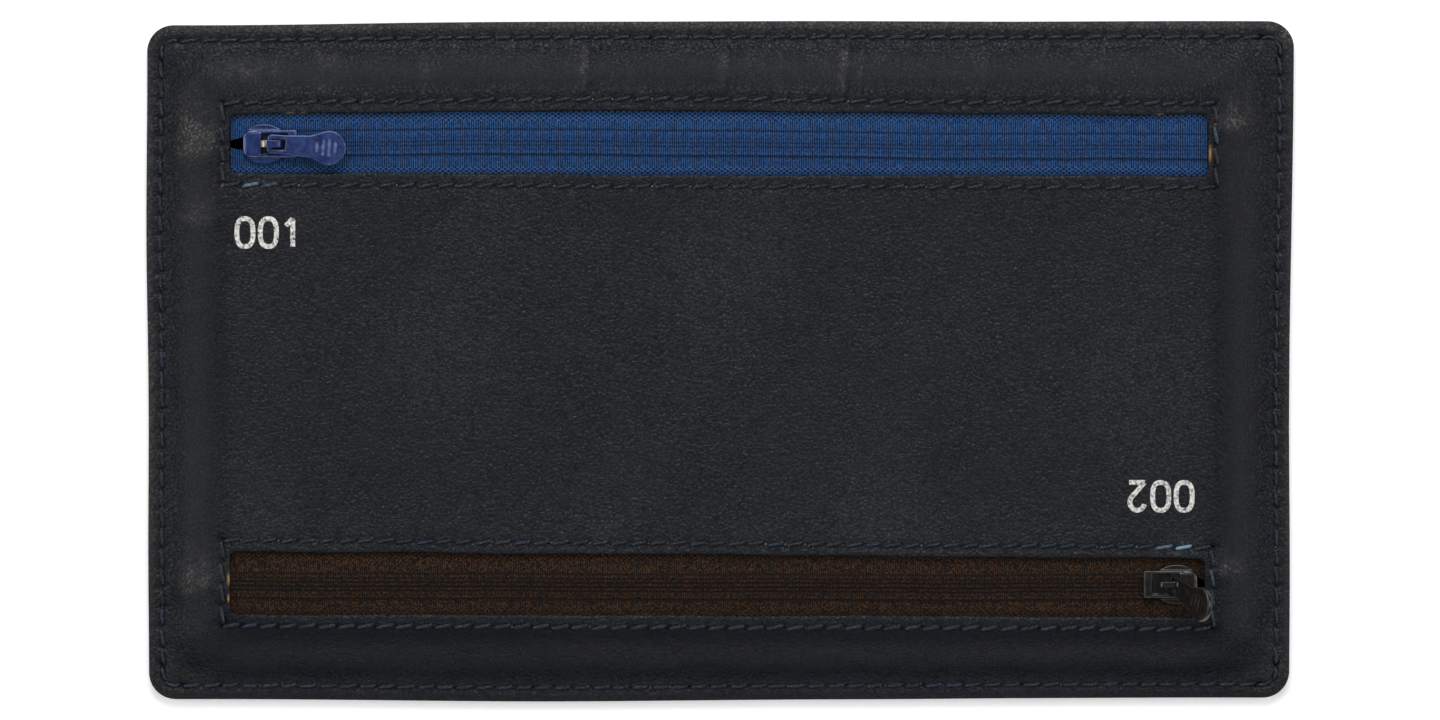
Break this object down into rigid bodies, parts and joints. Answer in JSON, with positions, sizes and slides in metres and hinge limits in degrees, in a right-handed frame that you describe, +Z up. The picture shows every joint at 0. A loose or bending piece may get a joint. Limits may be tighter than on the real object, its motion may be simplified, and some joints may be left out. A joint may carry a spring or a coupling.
{
  "type": "zipped travel pouch",
  "caption": "Flat leather travel pouch for a passport and currency, with zips across one face that open separate lined pockets.",
  "frame": {"origin": "centre of the outline on the surface the back panel rests on", "axes": "+X along the zips and the long sides, +Y across them towards zip 1, +Z up out of the zipped face"},
  "size_m": [0.205, 0.1216, 0.0219],
  "materials": {
    "leather": "dark navy to charcoal soft leather, fine pebbled grain, semi-matt",
    "lining": "thin black woven polyester lining",
    "thread": "twisted bonded polyester thread, navy with lighter plies",
    "zip_1_tape": "woven polyester zip tape, blue",
    "zip_1_coil": "nylon coil, blue",
    "zip_1_metal": "zinc casting with smooth blue enamel",
    "zip_2_tape": "woven polyester zip tape, dark brown",
    "zip_2_coil": "nylon coil, dark brown",
    "zip_2_metal": "zinc casting with dark olive brown enamel",
    "bare_metal": "plated steel, rubbed bright on top"
  },
  "bodies": {
    "pouch": {"front_panel": "leather", "divider_lining": "lining", "back_lining": "lining", "back_panel": "leather", "perimeter_stitching": "thread", "zip_1_window_stitching": "thread", "zip_2_window_stitching": "thread", "zip_1_tape_outer": "zip_1_tape", "zip_1_tape_inner": "zip_1_tape", "zip_2_tape_outer": "zip_2_tape", "zip_2_tape_inner": "zip_2_tape", "zip_1_coil_outer": "zip_1_coil", "zip_1_coil_inner": "zip_1_coil", "zip_2_coil_outer": "zip_2_coil", "zip_2_coil_inner": "zip_2_coil"},
    "zip_1_slider": {"zip_1_slider_body": "zip_1_metal", "zip_1_crown": "bare_metal"},
    "zip_1_pull": {"zip_1_pull_tab": "zip_1_metal"},
    "zip_1_lock": {"zip_1_lock_pin": "bare_metal"},
    "zip_2_slider": {"zip_2_slider_body": "zip_2_metal", "zip_2_crown": "bare_metal"},
    "zip_2_pull": {"zip_2_pull_tab": "zip_2_metal"},
    "zip_2_lock": {"zip_2_lock_pin": "bare_metal"}
  },
  "joints": [
    {"name": "zip_1_slide", "type": "slide", "parent": "pouch", "child": "zip_1_slider", "axis": [1, 0, 0], "range_m": [-0.002, 0.163], "deforming": ["zip_1_coil_outer", "zip_1_coil_inner"]},
    {"name": "zip_1_pull_swing", "type": "hinge", "parent": "zip_1_slider", "child": "zip_1_pull", "pos_m": [-0.08063, 0.0388, 0.01065], "axis": [0, -1, 0], "range_deg": [0, 170]},
    {"name": "zip_1_lock_lift", "type": "slide", "parent": "zip_1_slider", "child": "zip_1_lock", "axis": [0, 0, 1], "range_m": [0, 0.0006]},
    {"name": "zip_2_slide", "type": "slide", "parent": "pouch", "child": "zip_2_slider", "axis": [-1, 0, 0], "range_m": [-0.0006, 0.163], "deforming": ["zip_2_coil_outer", "zip_2_coil_inner"]},
    {"name": "zip_2_pull_swing", "type": "hinge", "parent": "zip_2_slider", "child": "zip_2_pull", "pos_m": [0.08109, -0.0402, 0.01065], "axis": [0, 1, 0], "range_deg": [-121, 49]},
    {"name": "zip_2_lock_lift", "type": "slide", "parent": "zip_2_slider", "child": "zip_2_lock", "axis": [0, 0, 1], "range_m": [0, 0.0006]}
  ]
}
